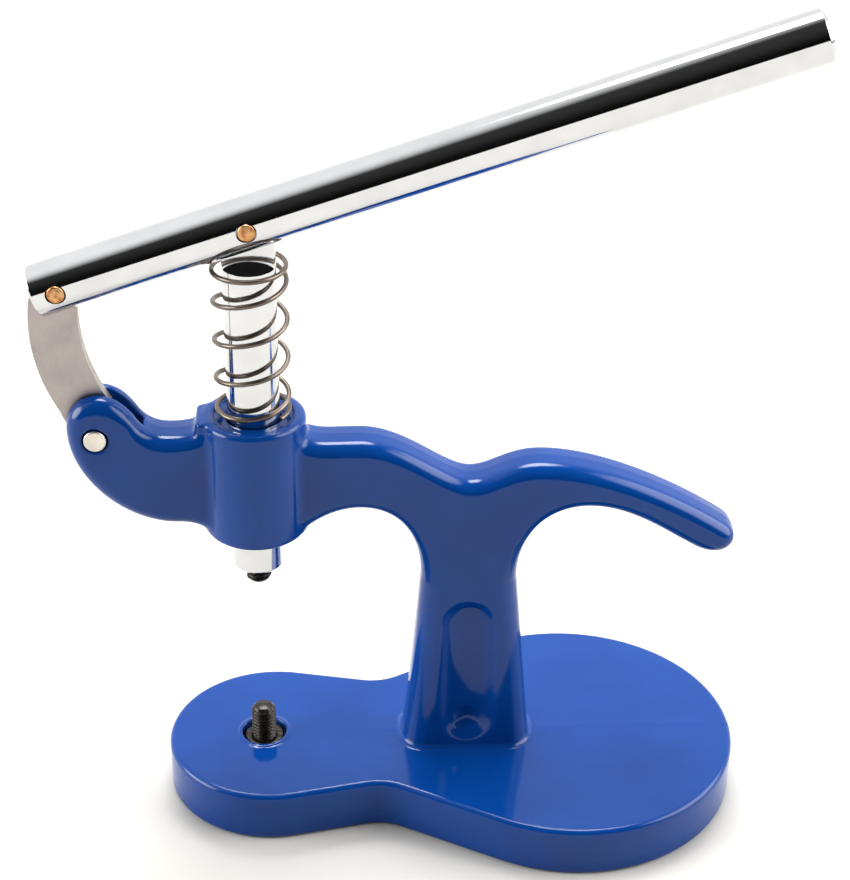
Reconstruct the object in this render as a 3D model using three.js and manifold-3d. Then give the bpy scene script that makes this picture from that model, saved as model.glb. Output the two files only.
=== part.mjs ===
// Hand-lever bench press of the watch-case kind: a cast frame with a guide boss, a sprung ram,
// a round bar lever and a short link that ties the lever's end to the frame's clevis.
// Millimetres, +Z up. The origin is on the ram's axis at the bench plane. +X runs from the ram
// towards the hand horn, and the lever swings in the XZ plane.
import * as THREE from "three";
import { mergeVertices } from "three/addons/utils/BufferGeometryUtils.js";
import Module from "manifold-3d";

const wasm = await Module();
wasm.setup();

// ---- driving dimensions -------------------------------------------------------------------
const fit = 0.3; // radial or side gap between neighbouring pieces
const pinProud = 0.35; // how far a cross pin stands out on each side

const base = {
  thickness: 13,
  edge: 1.2,
  dieLobe: { x: 2.3, radius: 25.7, tangentDeg: 12 },
  postLobe: { x: 76.4, radius: 40.7, tangentDeg: 29 },
  waistFillet: 12,
};
const arm = { thickness: 13, edge: 3.5 };
const post = {
  x: 50,
  headZ: 60,
  headHalfWidth: 11.55,
  footHalfWidth: 16,
  flare: 1.8,
  footCorner: 4.8,
  rootFillet: 1.4,
};
const recess = { halfWidth: 5.2, fromHead: 5.2, fromBase: 3.5, depth: 1.6, spread: 0.9, scoop: 9 };
const boss = { bottom: 74, top: 104.3, edge: 1.5, wall: 2.8, seatDepth: 0.8 };
const lug = { reach: 1.2, halfWidth: 5.2, depth: 4, drop: 0.3 }; // step beside the boss, clevis side

const barDiameter = 12; // one stock size for the ram and the lever
const ram = { bottom: 63.5, chamfer: 0.9, tangThickness: 4, tangNose: 3.7, shoulderGap: 1.8 };
const stud = { radius: 3, chamfer: 0.9, standing: 8.2, floor: 3.4, ramTip: 4.3, ramDepth: 11 };
const collar = { radius: 4.8, thickness: 3, sunk: 0.6, pool: 0.5 };

const leverAngle = 18.8; // degrees above level, at rest
const lever = { length: 179, tail: 49.5, chamfer: 0.9, slotPast: 2.5, roofGap: 0.4 };
const ramPin = { z: 151.3, radius: 2 };
const linkPin = { reach: 43.95, radius: 2 }; // reach along the lever, from the ram pin
const clevisPin = { x: -35.6, z: 100.8, radius: 2.6, dome: 0.3 };
const clevisSlot = { end: 10.4, floor: 24.8 }; // past the clevis pin, along X and down
const link = {
  thickness: 3,
  nose: 3.7,
  foot: 5.6,
  play: 1.15,
  // side offsets from the line of the pins at the foot, the middle and the head
  back: [4.1, 9.35, 6.35],
  belly: [-8.05, -1.95, -4.65],
};

const spring = {
  wireRadius: 0.58,
  play: 1.6, // between the ram and the coils
  startDeg: -40,
  turns: 5.25,
  endTurns: 0.85, // nearly closed coils at each end
  endPitch: 1.3,
  lift: 0.52, // between the boss and the lowest coil
  underLever: 0.3, // between the highest coil and the lever, at rest
  stepsPerTurn: 18,
};

// ---- sizes that follow from them ----------------------------------------------------------
const rad = THREE.MathUtils.degToRad;
const barRadius = barDiameter / 2;
const tilt = rad(leverAngle);
const pinLength = barDiameter + 2 * pinProud;
const tangSlot = ram.tangThickness + 2 * fit;
const linkSlot = link.thickness + 2 * fit;
const coilRadius = barRadius + spring.play + spring.wireRadius;
const coilBottom = boss.top + spring.lift + spring.wireRadius;
const coilTop = leverUnderside(coilRadius) - spring.underLever - spring.wireRadius;
const shoulder = leverUnderside(barRadius) - ram.shoulderGap;
const seatRadius = coilRadius + spring.wireRadius + 0.42;
const bossRadius = seatRadius + boss.wall;
const collarTop = base.thickness - collar.sunk;
const collarFoot = collarTop - collar.thickness;
const studTop = base.thickness + stud.standing;
const ramStud = { tip: ram.bottom - stud.ramTip, top: ram.bottom + stud.ramDepth };
const linkPinAt = [-linkPin.reach * Math.cos(tilt), ramPin.z - linkPin.reach * Math.sin(tilt)];
const clevisPinAt = [clevisPin.x, clevisPin.z];

const blueEnamel = { color: 0x0a3aa8, roughness: 0.16, metalness: 0.0 };
const chrome = { color: 0xdfe1e3, roughness: 0.06, metalness: 1.0 };
const groundSteel = { color: 0xa9a29d, roughness: 0.38, metalness: 1.0 };
const springSteel = { color: 0x5d534c, roughness: 0.4, metalness: 1.0 };
const blackOxide = { color: 0x1b1c1e, roughness: 0.45, metalness: 0.7 };
const zincYellow = { color: 0xb58a4a, roughness: 0.35, metalness: 1.0 };
const pinSteel = { color: 0xc9c3b8, roughness: 0.35, metalness: 1.0 };

// ---- helpers ------------------------------------------------------------------------------
// Height of the lever's underside at rest, so far to the tail side of the ram's axis.
function leverUnderside(away) {
  return ramPin.z - away * Math.tan(tilt) - barRadius / Math.cos(tilt);
}

// Points of an arc, both ends included. Angles in degrees, anticlockwise when they grow.
function arc(x, y, radius, fromDeg, toDeg, steps) {
  return Array.from({ length: steps + 1 }, (_, i) => {
    const a = rad(fromDeg + ((toDeg - fromDeg) * i) / steps);
    return [x + radius * Math.cos(a), y + radius * Math.sin(a)];
  });
}

// Points of the arc from a to c by way of b, both ends included.
function arcThrough(a, b, c, steps) {
  const [ux, uy, vx, vy] = [b[0] - a[0], b[1] - a[1], c[0] - a[0], c[1] - a[1]];
  const [uu, vv, cross] = [ux * ux + uy * uy, vx * vx + vy * vy, 2 * (ux * vy - uy * vx)];
  const [ox, oy] = [(vy * uu - uy * vv) / cross, (ux * vv - vx * uu) / cross];
  const [from, to] = [Math.atan2(-oy, -ox), Math.atan2(vy - oy, vx - ox)].map(THREE.MathUtils.radToDeg);
  const sweep = THREE.MathUtils.euclideanModulo(to - from + 180, 360) - 180;
  return arc(a[0] + ox, a[1] + oy, Math.hypot(ox, oy), from, from + sweep, steps);
}

// Points of a cubic curve after its start point.
function curve(start, pull1, pull2, end, steps = 7) {
  const [a, b, c, d] = [start, pull1, pull2, end].map(([x, y]) => new THREE.Vector2(x, y));
  const bezier = new THREE.CubicBezierCurve(a, b, c, d);
  return bezier.getPoints(steps).slice(1).map((p) => [p.x, p.y]);
}

// A run of cubic curves that share end points: each row holds two pulls and an end.
function curves(start, rows) {
  const points = [start];
  for (const [pull1, pull2, end] of rows) {
    points.push(...curve(points[points.length - 1], pull1, pull2, end));
  }
  return points;
}

const shapeOf = (points) => new THREE.Shape(points.map(([x, y]) => new THREE.Vector2(x, y)));

// A slab of the outline, from z = 0 up, with its two rims rounded by edge.
function slab(points, thickness, edge = 0, edgeSteps = 1) {
  return new THREE.ExtrudeGeometry(shapeOf(points), {
    depth: thickness - 2 * edge,
    bevelEnabled: edge > 0,
    bevelThickness: edge,
    bevelSize: edge,
    bevelOffset: -edge,
    bevelSegments: edgeSteps,
  }).translate(0, 0, edge);
}

// A slab whose outline is drawn in XZ and whose thickness is centred on y = 0.
function plate(points, thickness, edge = 0, edgeSteps = 1) {
  return slab(points, thickness, edge, edgeSteps)
    .translate(0, 0, -thickness / 2)
    .rotateX(Math.PI / 2);
}

// A turned piece about Z from its [radius, height] outline, axis to axis.
const turned = (profile, sides = 40) =>
  new THREE.LatheGeometry(profile.map(([r, z]) => new THREE.Vector2(r, z)), sides).rotateX(Math.PI / 2);

const rod = (radius, from, to, sides = 40) =>
  turned([[0, from], [radius, from], [radius, to], [0, to]], sides);

// A rod along Y, centred on the XZ point.
const crossRod = ([x, z], radius, length, sides = 32) =>
  rod(radius, -length / 2, length / 2, sides).rotateX(Math.PI / 2).translate(x, 0, z);

const block = (x0, x1, y0, y1, z0, z1) =>
  new THREE.BoxGeometry(x1 - x0, y1 - y0, z1 - z0).translate((x0 + x1) / 2, (y0 + y1) / 2, (z0 + z1) / 2);

function solid(geometry) {
  const bare = geometry.clone();
  bare.deleteAttribute("normal");
  bare.deleteAttribute("uv");
  const merged = mergeVertices(bare, 1e-4);
  const vertProperties = new Float32Array(merged.attributes.position.array);
  const triVerts = new Uint32Array(merged.index.array);
  return new wasm.Manifold(new wasm.Mesh({ numProp: 3, vertProperties, triVerts }));
}

function join(...geometries) {
  return geometries.map(solid).reduce((sum, next) => sum.add(next));
}

function cut(body, ...tools) {
  return tools.map(solid).reduce((left, tool) => left.subtract(tool), body);
}

function geometryOf(manifold) {
  const mesh = manifold.getMesh();
  const geometry = new THREE.BufferGeometry();
  geometry.setAttribute("position", new THREE.BufferAttribute(mesh.vertProperties, 3));
  geometry.setIndex(new THREE.BufferAttribute(mesh.triVerts, 1));
  const faceted = geometry.toNonIndexed();
  faceted.computeVertexNormals();
  return faceted;
}

function piece(name, geometry, look) {
  const mesh = new THREE.Mesh(geometry, new THREE.MeshStandardMaterial(look));
  mesh.name = name;
  return mesh;
}

// A closed skin over a stack of rings that hold the same number of points.
function loft(rings) {
  const count = rings[0].length;
  const last = rings.length - 1;
  const positions = rings.flat(2);
  const centre = (ring) => {
    const sum = ring.reduce(([x, y, z], p) => [x + p[0], y + p[1], z + p[2]], [0, 0, 0]);
    return sum.map((value) => value / count);
  };
  positions.push(...centre(rings[0]), ...centre(rings[last]));
  const floor = rings.length * count;
  const index = [];
  for (let i = 0; i < count; i++) {
    const j = (i + 1) % count;
    for (let k = 0; k < last; k++) {
      const [a, b] = [k * count + i, k * count + j];
      index.push(a, b, b + count, a, b + count, a + count);
    }
    index.push(floor, j, i, floor + 1, last * count + i, last * count + j);
  }
  const geometry = new THREE.BufferGeometry();
  geometry.setAttribute("position", new THREE.Float32BufferAttribute(positions, 3));
  geometry.setIndex(index);
  return geometry;
}

// ---- the casting --------------------------------------------------------------------------
// One side of the base's waist, from the die lobe's tangent point to the post lobe's.
function waist(side) {
  const { dieLobe, postLobe, waistFillet } = base;
  const [a, b] = [rad(dieLobe.tangentDeg), rad(postLobe.tangentDeg)];
  const left = [dieLobe.x + dieLobe.radius * Math.sin(a), dieLobe.radius * Math.cos(a)];
  const right = [postLobe.x - postLobe.radius * Math.sin(b), postLobe.radius * Math.cos(b)];
  const [fall, climb] = [Math.tan(a), Math.tan(b)];
  const cornerX = (left[1] - right[1] + fall * left[0] + climb * right[0]) / (fall + climb);
  const cornerY = left[1] - (cornerX - left[0]) * fall;
  const turn = dieLobe.tangentDeg + postLobe.tangentDeg;
  const reach = waistFillet * Math.tan(rad(turn / 2));
  const from = [cornerX - reach * Math.cos(a), cornerY + reach * Math.sin(a)];
  const hub = [from[0] + waistFillet * Math.sin(a), from[1] + waistFillet * Math.cos(a)];
  const sweep = arc(hub[0], hub[1], waistFillet, 270 - dieLobe.tangentDeg, 270 + postLobe.tangentDeg, 6);
  return sweep.map(([x, y]) => [x, side * y]);
}

function basePlate() {
  const { dieLobe, postLobe } = base;
  const outline = [
    ...arc(dieLobe.x, 0, dieLobe.radius, 90 - dieLobe.tangentDeg, 270 + dieLobe.tangentDeg, 28),
    ...waist(-1),
    ...arc(postLobe.x, 0, postLobe.radius, -90 - postLobe.tangentDeg, 90 + postLobe.tangentDeg, 36),
    ...waist(1).reverse(),
  ];
  return slab(outline, base.thickness, base.edge, 2);
}

// Side outline of the arm. Each stretch is placed from the piece that it belongs to: the clevis
// pin, the boss, or the head of the post.
function armOutline() {
  const atClevis = (dx, dz) => [clevisPin.x + dx, clevisPin.z + dz];
  const atBoss = (side, dx, dz) => [side * (bossRadius + dx), boss.top + dz];
  const underBoss = (side, dx, dz) => [side * (bossRadius + dx), boss.bottom + dz];
  const atPost = (dx, dz) => [post.x + dx, post.headZ + dz];
  return [
    ...curves(underBoss(-1, -1.2, 0.6), [
      [underBoss(-1, 1, 2.8), underBoss(-1, 3, 3.4), underBoss(-1, 6, 3.4)],
      [atClevis(5.4, -23.4), atClevis(-6.8, -11.6), atClevis(-6.8, 1.2)],
      [atClevis(-6.8, 6.6), atClevis(-3.4, 9.7), atClevis(0.6, 9.7)],
      [atClevis(4.8, 9.7), atClevis(7.4, 7), atClevis(9.6, 3.4)],
      [atClevis(11.2, 1), atBoss(-1, 10, -3.7), atBoss(-1, 7.3, -3.7)],
      [atBoss(-1, 4, -3.7), atBoss(-1, 1.4, -3.1), atBoss(-1, -1, -1.8)],
    ]),
    ...curves(atBoss(1, -10, -1.8), [
      [atBoss(1, -4, -1.8), atBoss(1, -1.4, -5.8), atBoss(1, 5, -5.8)],
      [atBoss(1, 8, -5.8), atPost(-29, 38.6), atPost(-26, 38.6)],
      [atPost(-15, 38.6), atPost(-6, 27.9), atPost(0, 27.9)],
      [atPost(4.5, 27.9), atPost(8.5, 32.2), atPost(16, 32.2)],
      [atPost(30, 32.2), atPost(48, 23), atPost(58.2, 16.3)],
      [atPost(60.4, 14.8), atPost(62.9, 13.6), atPost(62.9, 11)],
      [atPost(62.9, 8.6), atPost(60.8, 6.9), atPost(58.2, 6.9)],
      [atPost(56.2, 6.9), atPost(54.6, 7.7), atPost(53, 8.6)],
      [atPost(45, 13.8), atPost(36.5, 20.1), atPost(27.5, 20.1)],
      [atPost(19, 20.1), atPost(post.headHalfWidth, 14), atPost(post.headHalfWidth, 0)],
    ]),
    ...curves(atPost(-post.headHalfWidth, 0), [
      [atPost(-post.headHalfWidth, 15.5), atPost(-19, 20.5), atPost(-26, 20.5)],
      [underBoss(1, 6.5, 6.5), underBoss(1, 2, 3.4), underBoss(1, -1.2, 0.6)],
    ]),
  ];
}

// One level of the post: a rectangle with rounded corners, anticlockwise from above.
function postRing(left, right, halfDepth, corner, z) {
  const corners = [
    [right - corner, halfDepth - corner, 0],
    [left + corner, halfDepth - corner, 90],
    [left + corner, corner - halfDepth, 180],
    [right - corner, corner - halfDepth, 270],
  ];
  const outline = corners.flatMap(([x, y, from]) => arc(x, y, corner, from, from + 90, 4));
  return outline.map(([x, y]) => [x, y, z]);
}

function postBody() {
  const { lerp, clamp } = THREE.MathUtils;
  const foot = base.thickness;
  const ring = (z, root) => {
    const up = clamp((z - foot) / (post.headZ - foot), 0, 1);
    const left = post.x - lerp(post.footHalfWidth, post.headHalfWidth, up ** 0.75) - root;
    const right = post.x + lerp(post.footHalfWidth, post.headHalfWidth, up) + root;
    const halfDepth = arm.thickness / 2 + lerp(post.flare, 0, up) + root;
    return postRing(left, right, halfDepth, lerp(post.footCorner, arm.edge, up) + root, z);
  };
  // the root fillet is a quarter circle that opens onto the base
  const fillet = [270, 235, 210, 180].map((deg) => {
    const [out, up] = [Math.cos(rad(deg)) + 1, Math.sin(rad(deg)) + 1];
    return ring(foot + post.rootFillet * up, post.rootFillet * out);
  });
  const shaft = [0.28, 0.5, 0.7, 0.87, 1, 1.12].map((up) => ring(lerp(foot, post.headZ, up), 0));
  return loft([ring(foot - 5, post.rootFillet), ...fillet, ...shaft]);
}

// The arch-topped pocket in the post's face, leaned back with the flare and scooped at its foot.
function pocket() {
  const { halfWidth, fromHead, fromBase, depth, spread, scoop } = recess;
  const [top, bottom, reach] = [post.headZ - fromHead, base.thickness + fromBase, 6];
  const outline = [
    ...arc(post.x, top - halfWidth, halfWidth, 0, 180, 12),
    [post.x - halfWidth - spread, bottom],
    [post.x + halfWidth + spread, bottom],
  ];
  // the floor's section, in depth and height: outside the post, depth is below zero
  const rampTop = [0, bottom + scoop];
  const section = [
    [-reach, top + 1],
    [0, top + 1],
    rampTop,
    ...curve(rampTop, [0, bottom + scoop / 2], [-depth * 0.6, bottom + 1], [-2 * depth, bottom], 5),
    [-reach, bottom - 0.5],
  ];
  const across = new THREE.Matrix4().makeBasis(
    new THREE.Vector3(0, 1, 0),
    new THREE.Vector3(0, 0, 1),
    new THREE.Vector3(1, 0, 0),
  );
  const floor = slab(section, 4 * halfWidth)
    .translate(0, 0, post.x - 2 * halfWidth)
    .applyMatrix4(across);
  const lean = Math.atan2(post.flare, post.headZ - base.thickness);
  return solid(floor)
    .intersect(solid(plate(outline, 4 * reach)))
    .translate([0, 0, -top])
    .rotate([THREE.MathUtils.radToDeg(-lean), 0, 0])
    .translate([0, depth - arm.thickness / 2, top]);
}

function bossBody() {
  const { bottom, top, edge } = boss;
  const rim = arc(bossRadius - edge, top - edge, edge, 0, 90, 4);
  return turned([[0, bottom], [bossRadius - 0.7, bottom], [bossRadius, bottom + 0.7], ...rim, [0, top]], 48);
}

function casting() {
  const body = join(basePlate(), postBody(), plate(armOutline(), arm.thickness, arm.edge, 4), bossBody());
  const lugTop = boss.top - lug.drop;
  const lugEnds = [-bossRadius - lug.reach, -barRadius, -lug.halfWidth, lug.halfWidth];
  const step = block(...lugEnds, lugTop - lug.depth, lugTop);
  const slotEnds = [clevisPin.x - 15, clevisPin.x + clevisSlot.end, -linkSlot / 2, linkSlot / 2];
  const drilled = cut(
    body.add(solid(step)),
    rod(barRadius + fit, boss.bottom - 5, boss.top + 5, 48),
    rod(seatRadius, boss.top - boss.seatDepth, boss.top + 5, 48),
    rod(stud.radius + fit, stud.floor - fit, base.thickness + 1),
    rod(collar.radius + collar.pool, collarFoot - fit, base.thickness + 1),
    block(...slotEnds, clevisPin.z - clevisSlot.floor, clevisPin.z + 15),
    crossRod(clevisPinAt, clevisPin.radius + fit, arm.thickness + 4),
  );
  const front = pocket();
  return geometryOf(drilled.subtract(front).subtract(front.mirror([0, 1, 0])));
}

// ---- the turned and milled pieces -----------------------------------------------------------
// Slide bar with two flats above its shoulder, a cross hole, and a threaded socket below.
function ramBody() {
  const { bottom, chamfer, tangThickness, tangNose } = ram;
  const top = ramPin.z + tangNose;
  const bar = turned([
    [0, bottom],
    [barRadius - chamfer, bottom],
    [barRadius, bottom + chamfer],
    [barRadius, top],
    [0, top],
  ]);
  const tangRow = [-1, 1].flatMap((side) => {
    const cheek = [side * (tangThickness / 2), side * (barRadius + 1)].sort((a, b) => a - b);
    const corner = [side * tangNose, side * (barRadius + 1)].sort((a, b) => a - b);
    return [
      block(-barRadius - 1, barRadius + 1, ...cheek, shoulder, top + 1),
      block(...corner, -tangThickness, tangThickness, ramPin.z - 3, top + 1),
    ];
  });
  const nose = plate([
    ...arc(0, ramPin.z, tangNose, 0, 180, 12),
    [-tangNose, top + 2],
    [tangNose, top + 2],
  ], tangThickness + 2);
  return geometryOf(cut(
    solid(bar),
    ...tangRow,
    nose,
    crossRod([0, ramPin.z], ramPin.radius + fit, tangThickness + 4),
    rod(stud.radius + fit, bottom - 1, ramStud.top + fit),
  ));
}

// Headless stud in the ram; a thread is drawn at its outer diameter.
function ramStudBody() {
  const { radius, chamfer } = stud;
  const { tip, top } = ramStud;
  return turned([
    [0, tip],
    [radius - chamfer, tip],
    [radius, tip + chamfer],
    [radius, top - 0.3],
    [radius - 0.3, top],
    [0, top],
  ], 32);
}

// Stud in the base, with the round collar that it is screwed down on.
function dieStudBody() {
  return turned([
    [0, stud.floor],
    [stud.radius, stud.floor],
    [stud.radius, collarFoot],
    [collar.radius, collarFoot],
    [collar.radius, collarTop - 0.3],
    [collar.radius - 0.3, collarTop],
    [stud.radius, collarTop],
    [stud.radius, studTop - stud.chamfer],
    [stud.radius - stud.chamfer, studTop],
    [0, studTop],
  ], 32);
}

// The round bar lies along X about the ram pin here; its mesh is turned to the lever's angle.
function leverBody() {
  const { length, tail, chamfer, slotPast, roofGap } = lever;
  const head = length - tail;
  const [slotEnd, roof] = [barRadius + slotPast, ram.tangNose + roofGap];
  const bar = turned([
    [0, -tail],
    [barRadius - 0.4, -tail],
    [barRadius, 0.4 - tail],
    [barRadius, head - chamfer],
    [barRadius - chamfer, head],
    [0, head],
  ], 48).rotateY(Math.PI / 2);
  return geometryOf(cut(
    solid(bar),
    block(-tail - 1, slotEnd, -tangSlot / 2, tangSlot / 2, -barRadius - 1, roof),
    crossRod([0, 0], ramPin.radius + fit, barDiameter + 2),
    crossRod([-linkPin.reach, 0], linkPin.radius + fit, barDiameter + 2),
  ));
}

// Curved strap, drawn with its foot hole at the origin and its head hole up the X axis.
function linkBody() {
  const { nose, foot, thickness, play, back, belly } = link;
  const span = Math.hypot(linkPinAt[0] - clevisPinAt[0], linkPinAt[1] - clevisPinAt[1]);
  const side = ([low, middle, high], steps) =>
    arcThrough([0, low], [span / 2, middle], [span, high], steps);
  const backEdge = side(back, 16).slice(3, -1);
  const bellyEdge = side(belly, 16).slice(3, -2);
  const outline = [
    ...bellyEdge,
    ...arc(span, 0, nose, -25, 60, 7),
    ...backEdge.reverse(),
    ...arc(0, 0, foot, 110, 250, 9),
  ];
  const hole = (x, radius) => rod(radius, -thickness, thickness, 32).translate(x, 0, 0);
  return geometryOf(cut(
    solid(slab(outline, thickness, 0.25).translate(0, 0, -thickness / 2)),
    hole(0, clevisPin.radius + play),
    hole(span, linkPin.radius + fit),
  ));
}

// Pin along Y whose ends are eased.
function pinBody(radius, length, ease) {
  const end = length / 2;
  return turned([
    [0, -end],
    [radius - ease, -end],
    [radius, ease - end],
    [radius, end - ease],
    [radius - ease, end],
    [0, end],
  ], 28).rotateX(Math.PI / 2);
}

// ---- the spring -----------------------------------------------------------------------------
// Share of the rise that the wire has made after so many turns: slow, then steady, then slow.
function riseShare(turn) {
  const { turns, endTurns, endPitch } = spring;
  const ends = 2 * endTurns;
  const pitch = (coilTop - coilBottom - ends * endPitch) / (turns - ends);
  const ease = 0.18; // turns over which the pitch changes, each side of an end coil's limit
  const slopeAt = (t) => {
    const inner = Math.min(t - endTurns, turns - endTurns - t);
    return THREE.MathUtils.lerp(endPitch, pitch, THREE.MathUtils.smoothstep(inner, -ease, ease));
  };
  const slices = 400;
  const sum = (until) => {
    let total = 0;
    for (let i = 0; i < slices; i++) total += slopeAt(((i + 0.5) * until) / slices) * (until / slices);
    return total;
  };
  return sum(turn) / sum(turns);
}

class Coil extends THREE.Curve {
  getPoint(t, target = new THREE.Vector3()) {
    const { startDeg, turns } = spring;
    const a = rad(startDeg + 360 * turns * t);
    const height = THREE.MathUtils.lerp(coilBottom, coilTop, riseShare(turns * t));
    return target.set(coilRadius * Math.cos(a), coilRadius * Math.sin(a), height);
  }
}

function springBody() {
  const { turns, wireRadius, stepsPerTurn } = spring;
  const section = shapeOf(arc(0, 0, wireRadius, 0, 300, 5));
  return new THREE.ExtrudeGeometry(section, {
    extrudePath: new Coil(),
    steps: Math.round(turns * stepsPerTurn),
    bevelEnabled: false,
  });
}

// ---- the assembly ---------------------------------------------------------------------------
const press = new THREE.Group();

const frame = new THREE.Group();
frame.add(piece("frame_casting", casting(), blueEnamel));
frame.add(piece("die_stud", dieStudBody(), blackOxide));
frame.add(piece("return_spring", springBody(), springSteel));
const clevisPinLength = arm.thickness + 2 * pinProud;
const pivot = piece("clevis_pin", pinBody(clevisPin.radius, clevisPinLength, clevisPin.dome), pinSteel);
pivot.position.set(clevisPin.x, 0, clevisPin.z);
frame.add(pivot);

const slide = new THREE.Group();
slide.add(piece("ram", ramBody(), chrome));
slide.add(piece("ram_die_stud", ramStudBody(), blackOxide));

const handle = new THREE.Group();
handle.position.set(0, 0, ramPin.z);
handle.rotation.y = -tilt;
handle.add(piece("lever_bar", leverBody(), chrome));
handle.add(piece("ram_pin", pinBody(ramPin.radius, pinLength, 0.25), zincYellow));
const tailPin = piece("link_pin", pinBody(linkPin.radius, pinLength, 0.25), zincYellow);
tailPin.position.x = -linkPin.reach;
handle.add(tailPin);

// the strap's X axis is turned to run from the clevis pin to the link pin
const strap = piece("link_plate", linkBody(), groundSteel);
const rise = Math.atan2(linkPinAt[1] - clevisPinAt[1], linkPinAt[0] - clevisPinAt[0]);
strap.rotation.set(Math.PI / 2, 0, 0);
const turning = new THREE.Group();
turning.position.set(clevisPin.x, 0, clevisPin.z);
turning.rotation.y = -rise;
turning.add(strap);

press.add(frame, slide, handle, turning);

export default press;
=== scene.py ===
"""Looks of a hand-lever bench press: a glossy blue casting, a chromed ram and lever, a sprung
return and a ground steel link. Sizes are in millimetres and are scaled to metres where a mesh is made."""

import math

import bmesh
import bpy
import numpy as np
from mathutils import Matrix, Vector


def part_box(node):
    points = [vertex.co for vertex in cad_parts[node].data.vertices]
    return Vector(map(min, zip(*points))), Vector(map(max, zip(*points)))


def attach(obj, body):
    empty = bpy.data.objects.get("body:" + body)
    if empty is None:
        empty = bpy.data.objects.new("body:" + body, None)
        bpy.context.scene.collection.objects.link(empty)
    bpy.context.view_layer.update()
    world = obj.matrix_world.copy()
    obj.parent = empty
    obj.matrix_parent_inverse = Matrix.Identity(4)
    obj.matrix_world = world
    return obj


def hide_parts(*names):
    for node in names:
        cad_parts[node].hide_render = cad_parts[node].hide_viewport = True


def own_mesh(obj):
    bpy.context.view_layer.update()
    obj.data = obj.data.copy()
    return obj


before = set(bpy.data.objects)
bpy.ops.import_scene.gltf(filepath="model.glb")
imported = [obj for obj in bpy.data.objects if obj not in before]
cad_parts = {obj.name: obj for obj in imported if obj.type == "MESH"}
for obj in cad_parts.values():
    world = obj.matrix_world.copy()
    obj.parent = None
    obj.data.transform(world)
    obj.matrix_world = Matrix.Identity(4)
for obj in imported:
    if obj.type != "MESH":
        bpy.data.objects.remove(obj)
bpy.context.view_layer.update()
MM = 0.001

# ---- sizes shared with the CAD frame, in mm ----------------------------------------------
FIT = 0.3  # between a hole and what runs in it
BAR_R = 6.0  # radius of the stock of both the ram and the lever
BASE_T, BASE_EDGE = 13.0, 1.3
LOBE_LEFT, LOBE_RIGHT = (2.3, 25.7, 12.0), (76.4, 40.7, 29.0)  # X, radius, lean of its straight in degrees
WAIST_R = 12.0
ARM_T, ARM_EDGE = 13.0, 3.5
BOSS_LOW, BOSS_TOP, BOSS_R = 74.0, 104.3, 12.0
SEAT_R, SEAT_DEPTH = 9.2, 0.8  # the spring's recess in the boss
POST_X, HEAD_Z, HEAD_HALF, FOOT_HALF, FLARE = 50.0, 60.0, 11.55, 16.0, 1.8
HEAD_EDGE, FOOT_EDGE = 5.2, 5.8
ROOT_FILLET, BOSS_FILLET = 1.4, 1.1
BORE_EDGE, HOLE_EDGE = 0.9, 0.7  # rounding where a hole meets the skin
POCKET_DROP, POCKET_RISE, POCKET_HALF, POCKET_DEPTH = 5.0, 3.2, 6.3, 2.1
CLEVIS = (-35.6, 100.8)  # X and Z of its pin
CLEVIS_SLOT, CLEVIS_PIN_R = 1.8, 2.6  # half the slot's width, and the pin
LINK_HALF = 1.5  # of the strap's thickness
LINK_FOOT_HOLE = 3.75  # wider than its pin: the linkage is opened here
RAM_LOW, RAM_SHOULDER, RAM_PIN_Z = 63.5, 141.1, 151.3
TANG_R, TANG_HALF = 3.7, 2.0  # of the ram's flattened top
LEVER_TAIL, LEVER_TIP, LEVER_SLOT = -49.5, 129.5, 2.3  # ends from the ram pin, half the slot's width
LEVER_TILT = math.radians(18.8)
REACH = 43.95  # from the ram pin to the link pin
LINK_PIN = (-REACH * math.cos(LEVER_TILT), RAM_PIN_Z - REACH * math.sin(LEVER_TILT))
CROSS_PIN_R = 2.0
COIL_FOOT, COIL_TOP = BOSS_TOP + 0.52, RAM_PIN_Z - 10  # the coil's underside, and its top wire's middle
STUD_R, PITCH = 3.0, 1.0
COLLAR_R, COLLAR_SEAT = 4.8, 9.4
POST_TANG = 6.0  # how far the arm's outline runs down inside the post, and the post down in the base
DRAFT = 0.06  # fall of the casting's sides away from its parting plane
CELL = 0.62  # of the casting's skin
FAR = 40.0  # stands for the distance to an outline that is nowhere near


# ---- outlines ----------------------------------------------------------------------------
def arc(x, y, radius, start, end, steps):
    """Points of an arc, both ends included, with its angles in degrees."""
    a = np.radians(np.linspace(start, end, steps + 1))
    return np.column_stack([x + radius * np.cos(a), y + radius * np.sin(a)])


def curves(start, rows, steps=36):
    """Points of a run of cubic curves that share end points: a row is two pulls and an end."""
    t = np.linspace(0, 1, steps + 1)[1:, None]
    points = [np.array([start])]
    for pull1, pull2, end in rows:
        a, b, c, d = points[-1][-1], np.array(pull1), np.array(pull2), np.array(end)
        s = 1 - t
        points.append(a * s**3 + 3 * b * s * s * t + 3 * c * s * t * t + d * t**3)
    return np.vstack(points)


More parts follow.
